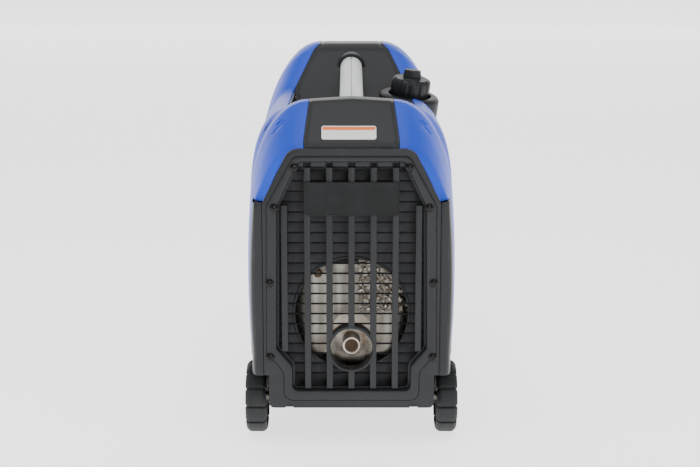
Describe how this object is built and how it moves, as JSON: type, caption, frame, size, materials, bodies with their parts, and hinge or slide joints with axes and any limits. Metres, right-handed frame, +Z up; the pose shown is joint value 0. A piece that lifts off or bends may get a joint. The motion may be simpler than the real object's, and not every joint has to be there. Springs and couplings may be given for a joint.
{
  "type": "inverter generator",
  "caption": "Closed inverter generator on two rear wheels with a tube handle, exhaust grille, fuel cap, pull starter and control panel.",
  "frame": {"origin": "on the ground under the middle of the overall box", "axes": "+Z up, -Y towards the exhaust grille and wheels, +Y towards the control panel, +X towards the fuel cap"},
  "size_m": [0.2998, 0.576, 0.519],
  "materials": {
    "blue_shell": "satin moulded blue plastic",
    "black_shell": "fine-grained charcoal plastic",
    "rubber_black": "worn black rubber",
    "light_grip": "pale grey plastic",
    "steel": "pressed steel",
    "burnt_steel": "heat-tinted steel",
    "alloy": "cast alloy",
    "winding": "enamelled copper windings",
    "screw_black": "black coated screw",
    "signal_red": "red plastic",
    "signal_white": "white plastic"
  },
  "bodies": {
    "chassis": {"ac_socket_1": "black_shell", "ac_socket_2": "black_shell", "air_cleaner": "black_shell", "base_tray": "black_shell", "carburettor": "alloy", "control_panel": "black_shell", "cylinder_head": "alloy", "engine_block": "alloy", "filler_bezel": "black_shell", "front_foot_left": "rubber_black", "front_foot_right": "rubber_black", "front_frame": "black_shell", "front_pillar_cover": "black_shell", "fuel_tank": "black_shell", "grille_plate": "black_shell", "handle_core": "steel", "handle_grip_left": "light_grip", "handle_grip_right": "light_grip", "inverter_module": "alloy", "muffler": "steel", "muffler_shroud": "black_shell", "outlet_pipe": "burnt_steel", "rear_corner_left": "black_shell", "rear_corner_right": "black_shell", "rear_frame": "black_shell", "rear_grille": "black_shell", "rear_pillar_cover": "black_shell", "rear_screw_1": "screw_black", "rear_screw_2": "screw_black", "rear_screw_3": "screw_black", "rear_screw_4": "screw_black", "rear_screw_5": "screw_black", "rear_screw_6": "screw_black", "rear_screw_7": "screw_black", "rear_screw_8": "screw_black", "recoil_housing": "black_shell", "side_shell_left": "blue_shell", "side_shell_right": "blue_shell", "spark_arrestor": "burnt_steel", "stator": "winding", "tank_deck": "black_shell", "wheel_axle": "steel"},
    "left_wheel": {"wheel_left": "rubber_black", "hub_cap_left": "black_shell"},
    "right_wheel": {"wheel_right": "rubber_black", "hub_cap_right": "black_shell"},
    "crank": {"rotor_shaft": "steel", "cooling_fan": "black_shell"},
    "cap_seal": {"fuel_cap_gasket": "rubber_black"},
    "cap": {"fuel_cap": "black_shell"},
    "vent": {"vent_knob": "black_shell"},
    "pull_grip": {"recoil_grip": "black_shell"},
    "rope_drum": {"recoil_pulley": "black_shell"},
    "dial": {"engine_dial": "signal_red"},
    "rocker": {"eco_switch": "signal_red"},
    "button": {"reset_button": "signal_white"},
    "lower_flap": {"socket_flap_1": "black_shell"},
    "upper_flap": {"socket_flap_2": "black_shell"},
    "side_door": {"service_cover": "blue_shell"},
    "oil_cap": {"oil_filler_cap": "signal_red"}
  },
  "joints": [
    {"name": "left_wheel_spin", "type": "hinge", "parent": "chassis", "child": "left_wheel", "pos_m": [-0.132, -0.223, 0.05], "axis": [1, 0, 0], "continuous": true},
    {"name": "right_wheel_spin", "type": "hinge", "parent": "chassis", "child": "right_wheel", "pos_m": [0.132, -0.223, 0.05], "axis": [1, 0, 0], "continuous": true},
    {"name": "crank_spin", "type": "hinge", "parent": "chassis", "child": "crank", "pos_m": [0, 0, 0.19], "axis": [0, 1, 0], "continuous": true},
    {"name": "fuel_cap_lift", "type": "slide", "parent": "chassis", "child": "cap_seal", "axis": [0.1207, -0.1392, 0.9829], "range_m": [0, 0.04]},
    {"name": "fuel_cap_turn", "type": "hinge", "parent": "cap_seal", "child": "cap", "pos_m": [0.088, 0, 0.452], "axis": [0.1207, -0.1392, 0.9829], "range_deg": [0, 120]},
    {"name": "vent_knob_turn", "type": "hinge", "parent": "cap", "child": "vent", "pos_m": [0.09117, -0.00366, 0.47785], "axis": [0.1207, -0.1392, 0.9829], "range_deg": [0, 90]},
    {"name": "recoil_pull", "type": "slide", "parent": "chassis", "child": "pull_grip", "axis": [1, 0, 0], "range_m": [0, 0.45], "stiffness_N_per_m": 8},
    {"name": "rope_drum_spin", "type": "hinge", "parent": "chassis", "child": "rope_drum", "pos_m": [0, 0.078, 0.19], "axis": [0, 1, 0], "range_deg": [-1, 580]},
    {"name": "engine_dial_turn", "type": "hinge", "parent": "chassis", "child": "dial", "pos_m": [0.048, 0.2705, 0.3], "axis": [0, 1, 0], "range_deg": [0, 90]},
    {"name": "eco_switch_rock", "type": "hinge", "parent": "chassis", "child": "rocker", "pos_m": [0.048, 0.2745, 0.225], "axis": [1, 0, 0], "range_deg": [-6, 6]},
    {"name": "reset_press", "type": "slide", "parent": "chassis", "child": "button", "axis": [0, -1, 0], "range_m": [0, 0.002], "stiffness_N_per_m": 300},
    {"name": "socket_flap_1_open", "type": "hinge", "parent": "chassis", "child": "lower_flap", "pos_m": [-0.048, 0.2755, 0.2185], "axis": [1, 0, 0], "range_deg": [0, 110], "stiffness_Nm_per_rad": 0.01, "springref_deg": -11.46},
    {"name": "socket_flap_2_open", "type": "hinge", "parent": "chassis", "child": "upper_flap", "pos_m": [-0.048, 0.2755, 0.2835], "axis": [1, 0, 0], "range_deg": [0, 110], "stiffness_Nm_per_rad": 0.01, "springref_deg": -11.46},
    {"name": "service_cover_pull", "type": "slide", "parent": "chassis", "child": "side_door", "axis": [-1, 0, 0], "range_m": [0, 0.06]},
    {"name": "oil_cap_turn", "type": "hinge", "parent": "chassis", "child": "oil_cap", "pos_m": [-0.0643, -0.095, 0.138], "axis": [-1, 0, 0], "range_deg": [0, 720]}
  ],
  "couplings": [
    {"joint": "rope_drum_spin", "follows": "recoil_pull", "rad_per_m": 22.222}
  ]
}
